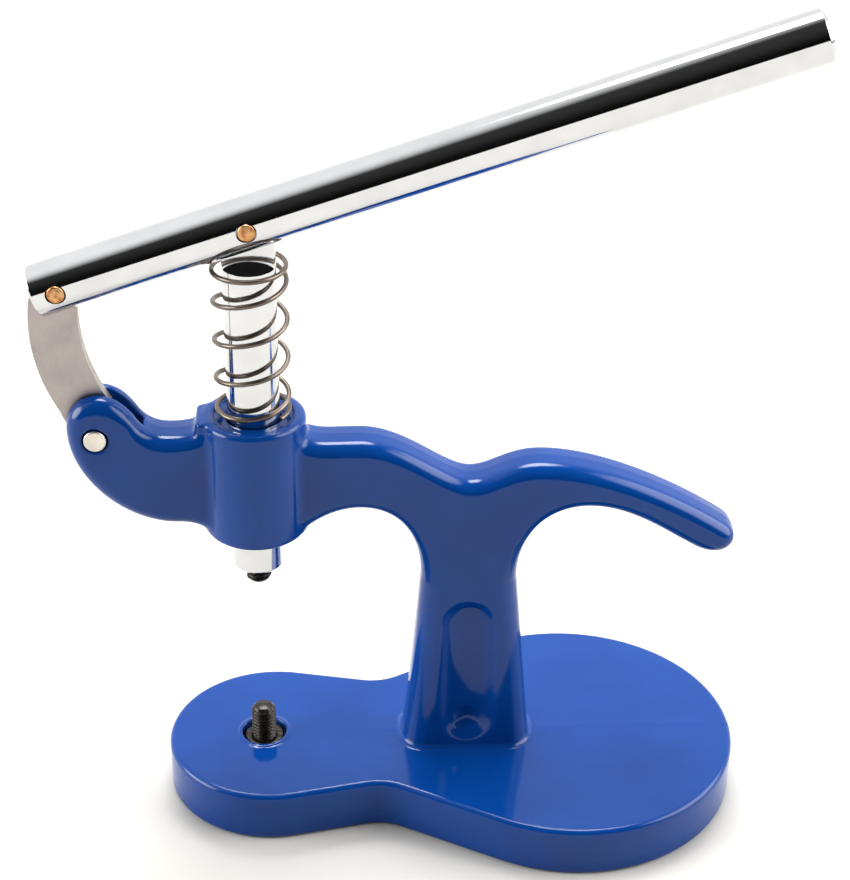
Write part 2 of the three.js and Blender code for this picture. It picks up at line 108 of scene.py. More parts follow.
def arm_outline():
    """Side outline of the arm in X and Z, from under the boss round by the clevis and the horn."""
    def clevis(dx, dz):
        return (CLEVIS[0] + dx, CLEVIS[1] + dz)

    def boss(side, dx, dz):
        return (side * (BOSS_R + dx), BOSS_TOP + dz)

    def under(side, dx, dz):
        return (side * (BOSS_R + dx), BOSS_LOW + dz)

    def post(dx, dz):
        return (POST_X + dx, HEAD_Z + dz)

    left = curves(under(-1, -1.2, 0.6), [
        (under(-1, 1, 2.8), under(-1, 3, 3.4), under(-1, 6, 3.4)),
        (clevis(5.4, -23.4), clevis(-6.8, -11.6), clevis(-6.8, 1.2)),
        (clevis(-6.8, 6.6), clevis(-3.4, 9.7), clevis(0.6, 9.7)),
        (clevis(4.8, 9.7), clevis(7.4, 7), clevis(9.6, 3.4)),
        (clevis(11.2, 1), boss(-1, 10, -3.7), boss(-1, 7.3, -3.7)),
        (boss(-1, 4, -3.7), boss(-1, 1.4, -3.1), boss(-1, -1, -1.8)),
    ])
    right = curves(boss(1, -10, -1.8), [
        (boss(1, -4, -1.8), boss(1, -1.4, -5.8), boss(1, 5, -5.8)),
        (boss(1, 8, -5.8), post(-29, 38.6), post(-26, 38.6)),
        (post(-15, 38.6), post(-6, 27.9), post(0, 27.9)),
        (post(4.5, 27.9), post(8.5, 32.2), post(16, 32.2)),
        (post(30, 32.2), post(48, 23), post(58.2, 16.3)),
        (post(60.4, 14.8), post(62.9, 13.6), post(62.9, 11)),
        (post(62.9, 8.6), post(60.8, 6.9), post(58.2, 6.9)),
        (post(56.2, 6.9), post(54.6, 7.7), post(53, 8.6)),
        (post(45, 13.8), post(36.5, 20.1), post(27.5, 20.1)),
        (post(19, 20.1), post(HEAD_HALF, 14), post(HEAD_HALF, 0)),
    ])
    tang = [post(HEAD_HALF, -POST_TANG), post(-HEAD_HALF, -POST_TANG)]
    arch = curves(post(-HEAD_HALF, 0), [
        (post(-HEAD_HALF, 15.5), post(-19, 20.5), post(-26, 20.5)),
        (under(1, 6.5, 6.5), under(1, 2, 3.4), under(1, -1.2, 0.6)),
    ])
    return np.vstack([left, right, tang, arch])[::-1]


def base_outline():
    """Figure-eight outline of the base in X and Y: two lobes, joined by straights and a fillet."""
    (lx, lr, la), (rx, rr, ra) = LOBE_LEFT, LOBE_RIGHT
    a, b = math.radians(la), math.radians(ra)
    left = (lx + lr * math.sin(a), lr * math.cos(a))
    right = (rx - rr * math.sin(b), rr * math.cos(b))
    fall, climb = math.tan(a), math.tan(b)
    corner_x = (left[1] - right[1] + fall * left[0] + climb * right[0]) / (fall + climb)
    corner_y = left[1] - (corner_x - left[0]) * fall
    reach = WAIST_R * math.tan((a + b) / 2)
    hub_x = corner_x - reach * math.cos(a) + WAIST_R * math.sin(a)
    hub_y = corner_y + reach * math.sin(a) + WAIST_R * math.cos(a)
    waist = arc(hub_x, hub_y, WAIST_R, 270 - la, 270 + ra, 16)
    return np.vstack([
        arc(lx, 0, lr, 90 - la, 270 + la, 100),
        waist * [1, -1],
        arc(rx, 0, rr, -90 - ra, 90 + ra, 150),
        waist[::-1],
    ])


def outline_distance(outline, u, v, batch=4096):
    """Signed distance to a closed anticlockwise outline, below zero inside, and its slope in u and v."""
    a = outline[np.linalg.norm(np.roll(outline, -1, axis=0) - outline, axis=1) > 1e-4]
    a = a.astype(np.float32)
    ab = np.roll(a, -1, axis=0) - a
    size = (ab**2).sum(1)
    out = np.column_stack([ab[:, 1], -ab[:, 0]]) / np.sqrt(size)[:, None]
    out = out + np.roll(out, 1, axis=0)
    value, du, dv = (np.empty(len(u), np.float32) for _ in range(3))
    for first in range(0, len(u), batch):
        part = slice(first, first + batch)
        pu = u[part, None].astype(np.float32) - a[:, 0]
        pv = v[part, None].astype(np.float32) - a[:, 1]
        t = np.clip((pu * ab[:, 0] + pv * ab[:, 1]) / size, 0, 1)
        gap = (pu - t * ab[:, 0]) ** 2 + (pv - t * ab[:, 1]) ** 2
        near = gap.argmin(1)
        row = np.arange(len(near))
        share = t[row, near][:, None]
        lean = out[near] * (1 - share) + out[(near + 1) % len(a)] * share
        lean /= np.linalg.norm(lean, axis=1)[:, None]
        below = pv < 0
        with np.errstate(divide="ignore", invalid="ignore"):
            beyond = pu - pv / ab[:, 1] * ab[:, 0] < 0
        crossings = ((below != np.roll(below, -1, axis=1)) & beyond).sum(1)
        value[part] = np.where(crossings % 2, -1, 1) * np.sqrt(gap[row, near])
        du[part], dv[part] = lean.T
    return value, du, dv


# ---- the casting as a field of distances -----------------------------------------------------
def smooth_min(a, b, k):
    """Lesser of two distances, blended where they differ by less than k."""
    h = np.maximum(k - np.abs(a - b), 0) / k
    return np.minimum(a, b) - h * h * k / 4


def smooth_max(a, b, k):
    return -smooth_min(-a, -b, k)


def filleted(a, b, r):
    """Union of two bodies whose inner corner is filled by a radius r."""
    return np.maximum(r, np.minimum(a, b)) - np.hypot(np.maximum(r - a, 0), np.maximum(r - b, 0))


def rounded(a, b, r):
    """Meeting of two half-spaces with a rounded edge of radius r."""
    return np.hypot(np.maximum(a + r, 0), np.maximum(b + r, 0)) + np.minimum(np.maximum(a, b) + r, 0) - r


def post_distance(x, y, z):
    """Flared post: a rounded rectangle at each height."""
    up = np.clip((z - BASE_T) / (HEAD_Z - BASE_T), 0, 1)
    left = POST_X - FOOT_HALF + (FOOT_HALF - HEAD_HALF) * up**0.75
    right = POST_X + FOOT_HALF - (FOOT_HALF - HEAD_HALF) * up
    depth = ARM_T / 2 + FLARE * (1 - up)
    corner = FOOT_EDGE + (HEAD_EDGE - FOOT_EDGE) * up
    side = np.abs(x - (left + right) / 2) - (right - left) / 2 + DRAFT * np.abs(y)
    face = np.abs(y) - depth
    return np.maximum(rounded(side, face, corner), np.maximum(z - HEAD_Z, POST_TANG - z))


def pocket_distance(x, y, z):
    """Long pocket in the post's two faces: sloping walls, a hollow floor, a scoop at its foot."""
    top, bottom, half = HEAD_Z - POCKET_DROP, BASE_T + POCKET_RISE, POCKET_HALF
    widening, wall_slope, hollow = 0.7, 0.7, 0.035
    scoop_height, scoop_rise = 8, 1.5
    bowl_up, bowl_radius, bowl_depth = 4.6, 3.4, 0.9
    depth = ARM_T / 2 + (HEAD_Z - z) * FLARE / (HEAD_Z - BASE_T) - np.abs(y)
    spread = half + widening * np.clip((top - half - z) / (top - half - bottom), 0, 1)
    arch = np.hypot(x - POST_X, z - np.clip(z, bottom + half, top - half)) - spread
    wall = (arch + wall_slope * depth) / 1.22  # the slanted wall's own length of slope
    scoop = scoop_rise * np.clip((bottom + scoop_height - z) / scoop_height, 0, 1.3) ** 2
    bowl = np.clip(np.hypot(x - POST_X, z - bottom - bowl_up) / bowl_radius, 0, 1) ** 2
    bowl = bowl_depth * bowl - bowl_depth
    floor = depth - POCKET_DEPTH + scoop + bowl + hollow * (x - POST_X) ** 2
    return smooth_max(wall, floor, 1.2)


def boss_distance(x, y, z):
    """The guide boss, with the small ledge beside it on the clevis side."""
    middle, half = (BOSS_TOP + BOSS_LOW) / 2, (BOSS_TOP - BOSS_LOW) / 2
    boss = rounded(np.hypot(x, y) - BOSS_R, np.abs(z - middle) - half, 1.4)
    ledge_x, ledge_reach, ledge_half, ledge_drop, ledge_rise = -9, 4.2, 5.2, 2.3, 2
    sides = rounded(np.abs(x - ledge_x) - ledge_reach, np.abs(y) - ledge_half, 1.5)
    ledge = rounded(sides, np.abs(z - BOSS_TOP + ledge_drop) - ledge_rise, 0.7)
    return smooth_min(boss, ledge, 1.2)


def base_distance(x, y, z, plate):
    """The base's slab, with its faint parting line and the cast rim round the stud's hole."""
    slab = rounded(plate, np.abs(z - BASE_T / 2) - BASE_T / 2, BASE_EDGE)
    seam_height, seam_width, seam_start, seam_grow = 0.06, 1.1, 12, 18
    along = np.clip((x - seam_start) / seam_grow, 0, 1) * (z > 8)
    seam = seam_height * np.exp(-((y / seam_width) ** 2)) * along
    rim_radius, rim_thick, rim_sunk = 5.75, 0.55, 0.15
    rim = np.hypot(np.hypot(x, y) - rim_radius, z - BASE_T + rim_sunk) - rim_thick
    return smooth_min(slab - seam, rim, 0.7)


def less_holes(body, x, y, z):
    """The body less its bore, the spring's recess, the stud's hole and the clevis's slot and pin hole."""
    between, beyond = 50, 9  # a height between the stud's hole and the ram's bore; a distance out of reach
    rho = np.hypot(x, y)
    bore = np.where(z > between, rho - BAR_R - FIT, beyond)
    body = smooth_max(body, -bore, BORE_EDGE)
    seat = np.maximum(rho - SEAT_R, BOSS_TOP - SEAT_DEPTH - z)
    body = smooth_max(body, -seat, HOLE_EDGE)
    stud_hole, stud_hole_floor = COLLAR_R + 0.5, COLLAR_SEAT - FIT
    hole = np.maximum(np.where(z < between, rho - stud_hole, beyond), stud_hole_floor - z)
    body = smooth_max(body, -hole, HOLE_EDGE)
    slot_reach, slot_drop = 10.4, 24.8
    ends = np.maximum(x - CLEVIS[0] - slot_reach, CLEVIS[1] - slot_drop - z)
    body = smooth_max(body, -np.maximum(np.abs(y) - CLEVIS_SLOT, ends), BORE_EDGE)
    pin_hole = np.hypot(x - CLEVIS[0], z - CLEVIS[1]) - CLEVIS_PIN_R - FIT
    return smooth_max(body, -pin_hole, HOLE_EDGE)


def casting_distance(x, y, z, arm, plate):
    """Distance to the casting. arm and plate are the distances to the arm's and base's outlines."""
    change = 12  # the height over which the arm's edges round off into the post's
    edge = ARM_EDGE + (HEAD_EDGE - ARM_EDGE) * np.clip((HEAD_Z + change - z) / change, 0, 1)
    body = rounded(arm + DRAFT * np.abs(y), np.abs(y) - ARM_T / 2, edge)
    body = filleted(body, boss_distance(x, y, z), BOSS_FILLET)
    post = smooth_max(post_distance(x, y, z), -pocket_distance(x, y, z), 1.0)
    body = filleted(np.minimum(body, post), base_distance(x, y, z, plate), ROOT_FILLET)
    return less_holes(body, x, y, z)


def sample_grid(low, shape):
    """Distances on the grid, one level at a time, with the outlines measured once."""
    xs, ys, zs = (low[i] + CELL * np.arange(shape[i]) for i in range(3))
    xg, yg = (g.ravel() for g in np.meshgrid(xs, ys, indexing="ij"))
    plate = outline_distance(base_outline(), xg, yg)[0].reshape(shape[0], shape[1])
    xg, zg = (g.ravel() for g in np.meshgrid(xs, zs, indexing="ij"))
    arm = outline_distance(arm_outline(), xg, zg)[0].reshape(shape[0], shape[2])
    field = np.empty(shape, np.float32)
    for k, z in enumerate(zs):
        field[:, :, k] = casting_distance(xs[:, None], ys[None, :], z, arm[:, k, None], plate)
    return field


def surface_net(field):
    """Vertices, in cells, and quads of the field's zero surface: one vertex in each cell it crosses."""
    inside = field < 0
    corners = [(i, j, k) for i in (0, 1) for j in (0, 1) for k in (0, 1)]
    cut = tuple(slice(0, n - 1) for n in field.shape)
    count = sum(inside[i:i + cut[0].stop, j:j + cut[1].stop, k:k + cut[2].stop].astype(np.int8)
                for i, j, k in corners)
    cells = np.argwhere((count > 0) & (count < 8))
    index = np.full([n - 1 for n in field.shape], -1, np.int32)
    index[tuple(cells.T)] = np.arange(len(cells))
    total, hits = np.zeros((len(cells), 3)), np.zeros(len(cells))
    for start in corners:
        for axis in range(3):
            if start[axis]:
                continue
            end = [c + (n == axis) for n, c in enumerate(start)]
            va = field[tuple((cells + start).T)]
            vb = field[tuple((cells + end).T)]
            crossed = (va < 0) != (vb < 0)
            t = np.where(crossed, va / np.where(crossed, va - vb, 1), 0)
            point = cells + start + t[:, None] * (np.array(end) - start)
            total[crossed] += point[crossed]
            hits += crossed
    quads = []
    for axis in range(3):
        near = np.take(inside, range(0, field.shape[axis] - 1), axis)
        far = np.take(inside, range(1, field.shape[axis]), axis)
        edges = np.argwhere(near != far)
        out = near[tuple(edges.T)]
        b, c = [(1, 2), (2, 0), (0, 1)][axis]
        ring = []
        for db, dc in ((0, 0), (1, 0), (1, 1), (0, 1)):
            cell = edges.copy()
            cell[:, b] -= db
            cell[:, c] -= dc
            ring.append(index[tuple(cell.T)])
        ring = np.array(ring).T
        quads.append(np.where(out[:, None], ring, ring[:, ::-1]))
    return total / hits[:, None], np.vstack(quads)


def slope_at(points):
    """Distance and its slope at each point, by small steps from the outlines' own slopes."""
    x, y, z = points.T
    arm, arm_x, arm_z = (np.full(len(x), v) for v in (FAR, 0.0, 0.0))
    plate, plate_x, plate_y = (np.full(len(x), v) for v in (FAR, 0.0, 0.0))
    high, low = z > HEAD_Z - 2 * POST_TANG, z < BASE_T + 8
    arm[high], arm_x[high], arm_z[high] = outline_distance(arm_outline(), x[high], z[high])
    plate[low], plate_x[low], plate_y[low] = outline_distance(base_outline(), x[low], y[low])

    def at(dx, dy, dz):
        return casting_distance(
            x + dx, y + dy, z + dz,
            arm + arm_x * dx + arm_z * dz,
            plate + plate_x * dx + plate_y * dy)

    e = 0.02
    slope = np.column_stack([
        at(e, 0, 0) - at(-e, 0, 0), at(0, e, 0) - at(0, -e, 0), at(0, 0, e) - at(0, 0, -e)]) / (2 * e)
    return at(0, 0, 0), slope


def casting_mesh():
    """Skin of the casting, laid on its zero surface in three steps, with the surface's own normals."""
    floor, high = (np.array(corner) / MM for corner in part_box("frame_casting"))
    low = floor - 2 * CELL - 0.13  # an odd bit, so that no level of the grid lies on a flat face
    shape = np.ceil((high + 2 * CELL - low) / CELL).astype(int) + 1
    cells, quads = surface_net(sample_grid(low, shape))
    points = low + CELL * cells
    for _ in range(3):
        value, slope = slope_at(points)
        step = slope * (value / np.maximum((slope**2).sum(1), 0.2))[:, None]
        length = np.maximum(np.linalg.norm(step, axis=1), 1e-9)
        points -= step * np.minimum(1, 0.5 * CELL / length)[:, None]
    points = np.clip(points, floor, high)
    normals = slope_at(points)[1]
    normals /= np.maximum(np.linalg.norm(normals, axis=1), 1e-6)[:, None]
    mesh = bpy.data.meshes.new("casting_skin")
    mesh.from_pydata((points * MM).tolist(), [], quads.tolist())
    mesh.shade_smooth()
    shading = mesh.attributes.new("custom_normal", "FLOAT_VECTOR", "POINT")
    shading.data.foreach_set("vector", normals.ravel())
    return mesh


# ---- turned, milled and swept pieces ---------------------------------------------------------
def add_piece(name, mesh, body, node, material):
    """Puts a piece in the scene, on its body and in place of its CAD node."""
    obj = bpy.data.objects.new(name, mesh)
    bpy.context.collection.objects.link(obj)
    mesh.materials.clear()
    mesh.materials.append(material)
    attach(obj, body)
    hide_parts(node)
    return obj


def turned(profile, sides=96):
    """A turned piece about Z from its [radius, height] outline in mm, from axis to axis."""
    bm = bmesh.new()
    rings = []
    for radius, height in profile:
        if radius < 1e-6:
            rings.append([bm.verts.new((0, 0, height * MM))])
            continue
        turn = [2 * math.pi * i / sides for i in range(sides)]
        around = [(radius * MM * math.cos(a), radius * MM * math.sin(a), height * MM) for a in turn]
        rings.append([bm.verts.new(corner) for corner in around])
    for low, high in zip(rings, rings[1:]):
        for i in range(sides):
            j = (i + 1) % sides
            corners = [low[i % len(low)], low[j % len(low)], high[j % len(high)], high[i % len(high)]]
            face = list(dict.fromkeys(corners))
            if len(face) > 2:
                bm.faces.new(face)
    bmesh.ops.recalc_face_normals(bm, faces=bm.faces)
    mesh = bpy.data.meshes.new("turned")
    bm.to_mesh(mesh)
    bm.free()
    return mesh


def eased(radius, low, high, ease, dome=0.0, steps=5):
    """Outline of a rod whose two end corners are rounded by ease and whose ends rise by dome."""
    flat = radius - ease
    bottom = [(radius - ease + ease * math.sin(a), low + ease - ease * math.cos(a))
              for a in np.linspace(0, math.pi / 2, steps + 1)]
    top = [(r, high - (h - low)) for r, h in reversed(bottom)]
    if not dome:
        return [(0, low), *bottom, *top, (0, high)]
    crown = [(flat * t, dome * (1 - t * t)) for t in (0, 0.35, 0.7)]
    below = [(r, low - h) for r, h in crown]
    above = [(r, high + h) for r, h in reversed(crown)]
    return [*below, *bottom, *top, *above]


def chamfered(radius, low, high, low_cut, high_cut):
    """Outline of a rod with a chamfer at each end, each broken by a small radius."""
    step, ease, run = 0.04, 0.06, 0.08  # of the small radii
    return [
        (0, low),
        (radius - low_cut - run, low),
        (radius - low_cut, low + step),
        (radius - step, low + low_cut - ease),
        (radius, low + low_cut + ease),
        (radius, high - high_cut - ease),
        (radius - step, high - high_cut + ease),
        (radius - high_cut, high - step),
        (radius - high_cut - run, high),
        (0, high),
    ]


def applied(obj):
    """The object's mesh with its modifiers worked in."""
    depsgraph = bpy.context.evaluated_depsgraph_get()
    mesh = bpy.data.meshes.new_from_object(obj.evaluated_get(depsgraph))
    bpy.data.objects.remove(obj)
    return mesh


def cut_mesh(mesh, cutters, edge=0.12, angle=40):
    """The mesh less its cutters, with its sharp edges bevelled."""
    obj = bpy.data.objects.new("blank", mesh)
    bpy.context.collection.objects.link(obj)
    tools = []
    for cutter in cutters:
        tool = bpy.data.objects.new("cutter", cutter)
        bpy.context.collection.objects.link(tool)
        tools.append(tool)
        step = obj.modifiers.new("cut", "BOOLEAN")
        step.object = tool
        step.operation = "DIFFERENCE"
        step.solver = "EXACT"
    bevel = obj.modifiers.new("edges", "BEVEL")
    bevel.width = edge * MM
    bevel.segments = 2
    bevel.limit_method = "ANGLE"
    bevel.angle_limit = math.radians(angle)
    bevel.harden_normals = True
    mesh.shade_smooth()
    bpy.context.view_layer.update()
    result = applied(obj)
    for tool in tools:
        bpy.data.objects.remove(tool)
    result.shade_smooth()
    result.set_sharp_from_angle(angle=math.radians(30))
    return result


def round_about(mesh, axis):
    """Shades the faces that are turned about the axis as round, and all the others as flat."""
    axis = Vector(axis)
    normals = []
    for face in mesh.polygons:
        flat = face.normal.copy()
        rise = axis * flat.dot(axis)
        out = flat - rise
        corners = [mesh.vertices[i].co for i in face.vertices]
        spokes = [(co - axis * co.dot(axis)).normalized() for co in corners]
        side = 1 if out.dot(spokes[0]) > 0 else -1
        turning = out.length > 0.02 and all(side * out.normalized().dot(s) > 0.998 for s in spokes)
        normals += [rise + s * side * out.length if turning else flat for s in spokes]
    mesh.shade_smooth()
    mesh.normals_split_custom_set([tuple(n) for n in normals])
    return mesh


def block(x0, x1, y0, y1, z0, z1):
    """A block between two corners, in mm."""
    bm = bmesh.new()
    bmesh.ops.create_cube(bm, size=1)
    for v in bm.verts:
        v.co.x = MM * (x0 + (x1 - x0) * (v.co.x + 0.5))
        v.co.y = MM * (y0 + (y1 - y0) * (v.co.y + 0.5))
        v.co.z = MM * (z0 + (z1 - z0) * (v.co.z + 0.5))
    mesh = bpy.data.meshes.new("block")
    bm.to_mesh(mesh)
    bm.free()
    return mesh


def moved(mesh, matrix):
    mesh.transform(matrix)
    return mesh


def across(x, z):
    """Turns a piece about Z so that it runs along Y, and places it."""
    return Matrix.Translation((x * MM, 0, z * MM)) @ Matrix.Rotation(math.pi / 2, 4, "X")


LEVER_PLACE = Matrix.Translation((0, 0, RAM_PIN_Z * MM)) @ Matrix.Rotation(-LEVER_TILT, 4, "Y")


def slab(outline, low, high):
    """A prism of an outline in X and Y, in mm."""
    bm = bmesh.new()
    bottom = [bm.verts.new((u * MM, v * MM, low * MM)) for u, v in outline]
    top = [bm.verts.new((u * MM, v * MM, high * MM)) for u, v in outline]
    bm.faces.new(bottom[::-1])
    bm.faces.new(top)
    for i in range(len(bottom)):
        j = (i + 1) % len(bottom)
        bm.faces.new((bottom[i], bottom[j], top[j], top[i]))
    bmesh.ops.recalc_face_normals(bm, faces=bm.faces)
    mesh = bpy.data.meshes.new("slab")
    bm.to_mesh(mesh)
    bm.free()
    return mesh


def threaded(low, high, low_cut, high_cut, sides=72, rows_per_mm=11):
    """A stud about Z with a real M6 thread, chamfered at its ends."""
    depth, flank, flat = 0.61, 1.25, 0.1
    rows = int((high - low) * rows_per_mm)
    angle = 2 * np.pi * np.arange(sides) / sides
    bm = bmesh.new()
    rings = []
    for height in np.linspace(low, high, rows + 1):
        phase = (height / PITCH - angle / (2 * np.pi)) % 1
        crest = np.clip(np.abs(phase - 0.5) * 2 * flank - flat, 0, 1)
        limit = min(STUD_R - low_cut + (height - low), STUD_R - high_cut + (high - height), STUD_R)
        radius = np.minimum(STUD_R - depth * crest, limit)
        rings.append([bm.verts.new((r * MM * math.cos(a), r * MM * math.sin(a), height * MM))
                      for r, a in zip(radius, angle)])
    for lower, upper in zip(rings, rings[1:]):
        for i in range(sides):
            j = (i + 1) % sides
            bm.faces.new((lower[i], lower[j], upper[j], upper[i]))
    bm.faces.new(rings[0][::-1])
    bm.faces.new(rings[-1])
    mesh = bpy.data.meshes.new("stud")
    bm.to_mesh(mesh)
    bm.free()
    mesh.shade_smooth()
    mesh.set_sharp_from_angle(angle=math.radians(55))
    return mesh


def spring_mesh():
    """Right-hand compression spring: slow pitch at both ends, steady between, with square-cut wire ends."""
    wire, radius, turns, end_turns, end_pitch, easing = 0.58, 8.18, 5.25, 0.85, 1.3, 0.18
    low, high = COIL_FOOT + wire, COIL_TOP
    turn = np.linspace(0, turns, int(turns * 72))
    inner = np.minimum(turn - end_turns, turns - end_turns - turn)
    blend = np.clip((inner + easing) / (2 * easing), 0, 1)
    main_pitch = (high - low - 2 * end_turns * end_pitch) / (turns - 2 * end_turns)
    pitch = end_pitch + blend * blend * (3 - 2 * blend) * (main_pitch - end_pitch)
    rise = np.concatenate([[0], np.cumsum((pitch[1:] + pitch[:-1]) / 2)])
    height = low + (high - low) * rise / rise[-1]
    start = np.radians(-40)
    angle = start + 2 * np.pi * turn
    centre = np.column_stack([radius * np.cos(angle), radius * np.sin(angle), height])
    along = np.gradient(centre, axis=0)
    along /= np.linalg.norm(along, axis=1)[:, None]
    out = np.column_stack([np.cos(angle), np.sin(angle), np.zeros_like(angle)])
    up = np.cross(along, out)
    sides = 14
    bm = bmesh.new()
    rings = []
    for c, o, u in zip(centre, out, up):
        ring = []
        for i in range(sides):
            a = 2 * math.pi * i / sides
            ring.append(bm.verts.new((c + wire * (math.cos(a) * o + math.sin(a) * u)) * MM))
        rings.append(ring)
    for lower, upper in zip(rings, rings[1:]):
        for i in range(sides):
            j = (i + 1) % sides
            bm.faces.new((lower[i], lower[j], upper[j], upper[i]))
    bm.faces.new(rings[0][::-1])
    bm.faces.new(rings[-1])
    bmesh.ops.recalc_face_normals(bm, faces=bm.faces)
    mesh = bpy.data.meshes.new("spring")
    bm.to_mesh(mesh)
    bm.free()
    mesh.shade_smooth()
    mesh.set_sharp_from_angle(angle=math.radians(50))
    return mesh


def drill(radius, low, high, sides=48):
    """A plain round cutter about Z."""
    return turned([(0, low), (radius, low), (radius, high), (0, high)], sides)


def ram_mesh():
    """Chromed slide: chamfered end, flats and nose above the shoulder, cross hole, stud socket."""
    top = RAM_PIN_Z + TANG_R
    bar = turned(chamfered(BAR_R, RAM_LOW, top + 0.2, 0.9, 0.2), 128)
    out, over, shank = BAR_R + 2, top + 2, RAM_PIN_Z - 3
    nose = slab([*arc(0, RAM_PIN_Z, TANG_R, 0, 180, 24), (-TANG_R, over), (TANG_R, over)], -5, 5)
    cutters = [
        block(-out, out, TANG_HALF, out, RAM_SHOULDER, over),
        block(-out, out, -out, -TANG_HALF, RAM_SHOULDER, over),
        block(TANG_R, out, -4, 4, shank, over),
        block(-out, -TANG_R, -4, 4, shank, over),
        moved(nose, Matrix.Rotation(math.pi / 2, 4, "X")),
        moved(drill(CROSS_PIN_R + FIT, -out, out), across(0, RAM_PIN_Z)),
        drill(STUD_R + FIT, RAM_LOW - 3.5, RAM_LOW + 11.3),
    ]
    return round_about(cut_mesh(bar, cutters, 0.1), (0, 0, 1))


def lever_mesh():
    """Chromed bar, slotted from below over its tail, with two cross holes."""
    bar = turned(chamfered(BAR_R, LEVER_TAIL, LEVER_TIP, 0.4, 0.9), 160)
    bar = moved(bar, Matrix.Rotation(math.pi / 2, 4, "Y"))
    slot_roof = 4.1
    cutters = [block(LEVER_TAIL - 2.5, BAR_R + 2.5, -LEVER_SLOT, LEVER_SLOT, -BAR_R - 2, slot_roof)]
    for x in (0, -REACH):
        cutters.append(moved(drill(CROSS_PIN_R + FIT, -BAR_R - 3, BAR_R + 3), across(x, 0)))
    return moved(round_about(cut_mesh(bar, cutters, 0.1), (1, 0, 0)), LEVER_PLACE)


def arc_through(a, b, c, steps):
    """Points of the arc from a to c by way of b."""
    (ux, uy), (vx, vy) = (b[0] - a[0], b[1] - a[1]), (c[0] - a[0], c[1] - a[1])
    uu, vv, cross = ux * ux + uy * uy, vx * vx + vy * vy, 2 * (ux * vy - uy * vx)
    ox, oy = (vy * uu - uy * vv) / cross, (ux * vv - vx * uu) / cross
    start, end = math.degrees(math.atan2(-oy, -ox)), math.degrees(math.atan2(vy - oy, vx - ox))
    sweep = (end - start + 180) % 360 - 180
    return arc(a[0] + ox, a[1] + oy, math.hypot(ox, oy), start, start + sweep, steps)


def link_mesh():
    """Curved strap from the clevis pin, at the origin, to the link pin up its X axis."""
    rise = (LINK_PIN[0] - CLEVIS[0], LINK_PIN[1] - CLEVIS[1])
    span = math.hypot(*rise)
    middle, foot_r, head_r, through = span / 2, 5.6, 3.7, 2 * LINK_HALF
    back = arc_through((0, 4.1), (middle, 9.35), (span, 6.35), 64)[12:-4]
    belly = arc_through((0, -8.05), (middle, -1.95), (span, -4.65), 64)[12:-8]
    head_end, foot_end = arc(span, 0, head_r, -25, 60, 18), arc(0, 0, foot_r, 110, 250, 24)
    plate = slab(np.vstack([belly, head_end, back[::-1], foot_end]), -LINK_HALF, LINK_HALF)
    foot = drill(LINK_FOOT_HOLE, -through, through, 64)
    head = drill(CROSS_PIN_R + FIT, -through, through)
    head = moved(head, Matrix.Translation((span * MM, 0, 0)))
    place = (
        Matrix.Translation((CLEVIS[0] * MM, 0, CLEVIS[1] * MM))
        @ Matrix.Rotation(-math.atan2(rise[1], rise[0]), 4, "Y")
        @ Matrix.Rotation(math.pi / 2, 4, "X")
    )
    return moved(round_about(cut_mesh(plate, [foot, head], 0.22), (0, 0, 1)), place)


def die_stud_mesh():
    """The stud in the base with its round collar."""
    thread = threaded(3.4, BASE_T + 8.2, 0.5, 0.9)
    inside, top = STUD_R - 0.4, BASE_T - 0.6
    collar = turned([
        (inside, COLLAR_SEAT),
        (COLLAR_R, COLLAR_SEAT),
        (COLLAR_R, top - 0.3),
        (COLLAR_R - 0.1, top - 0.1),
        (COLLAR_R - 0.3, top),
        (STUD_R + FIT, top),
        (STUD_R - 0.05, top - 0.2),
        (inside, top - 0.2),
        (inside, COLLAR_SEAT),
    ], 64)
    bm = bmesh.new()
    bm.from_mesh(thread)
    bm.from_mesh(collar)
    bm.to_mesh(thread)
    bm.free()
    thread.shade_smooth()
    thread.set_sharp_from_angle(angle=math.radians(50))
    return thread


# ---- materials --------------------------------------------------------------------------------
def new_material(name, **sockets):
    """A node material whose shader has the given constants."""
    material = bpy.data.materials.new(name)
    material.use_nodes = True
    shader = material.node_tree.nodes["Principled BSDF"]
    for socket, value in sockets.items():
        shader.inputs[socket.replace("_", " ")].default_value = value
    return material, material.node_tree.nodes, material.node_tree.links, shader


def noise(nodes, links, scale, detail=3.0, roughness=0.5, stretch=(1, 1, 1)):
    """Noise in the object's own metres, squeezed along its axes by stretch."""
    place = nodes.new("ShaderNodeTexCoord")
    mapping = nodes.new("ShaderNodeMapping")
    mapping.inputs["Scale"].default_value = stretch
    texture = nodes.new("ShaderNodeTexNoise")
    texture.inputs["Scale"].default_value = scale
    texture.inputs["Detail"].default_value = detail
    texture.inputs["Roughness"].default_value = roughness
    links.new(place.outputs["Object"], mapping.inputs["Vector"])
    links.new(mapping.outputs["Vector"], texture.inputs["Vector"])
    return texture.outputs["Fac"]


def ramp(nodes, links, factor, stops):
    """Colours laid along a factor."""
    node = nodes.new("ShaderNodeValToRGB")
    elements = node.color_ramp.elements
    while len(elements) < len(stops):
        elements.new(0.5)
    for element, (position, colour) in zip(elements, stops):
        element.position = position
        element.color = (*colour, 1)
    links.new(factor, node.inputs["Fac"])
    return node.outputs["Color"]


def span(nodes, links, factor, low, high, from_low=0.3, from_high=0.7):
    """The factor stretched to run from low to high."""
    node = nodes.new("ShaderNodeMapRange")
    node.inputs["From Min"].default_value = from_low
    node.inputs["From Max"].default_value = from_high
    node.inputs["To Min"].default_value = low
    node.inputs["To Max"].default_value = high
    links.new(factor, node.inputs["Value"])
    return node.outputs["Result"]


